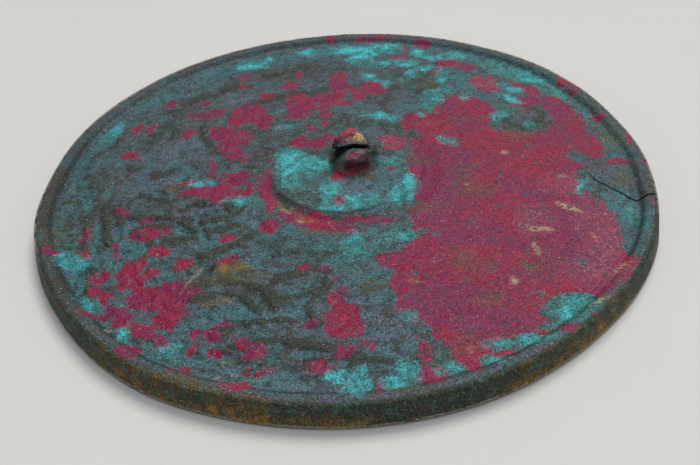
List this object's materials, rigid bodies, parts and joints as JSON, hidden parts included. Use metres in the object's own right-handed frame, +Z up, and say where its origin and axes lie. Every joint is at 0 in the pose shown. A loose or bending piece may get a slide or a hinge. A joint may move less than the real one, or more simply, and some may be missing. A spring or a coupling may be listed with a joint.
{
  "type": "ancient bronze mirror",
  "caption": "Round cast bronze mirror lying face down, with a raised rim, a round platform and a broken pierced knob on its corroded back.",
  "frame": {"origin": "centre of the flat reflecting face, which is the underside", "axes": "+Z up out of the decorated back, +Y away from the side that faces the viewer, +X towards the side with the cracked rim"},
  "size_m": [0.1198, 0.1198, 0.011],
  "materials": {
    "patinated_bronze": "corroded cast bronze: satin crimson and magenta patches, bright teal patches and fine-grained slate grey, with an olive and ochre side"
  },
  "bodies": {
    "root": {"mirror": "patinated_bronze"}
  },
  "joints": []
}
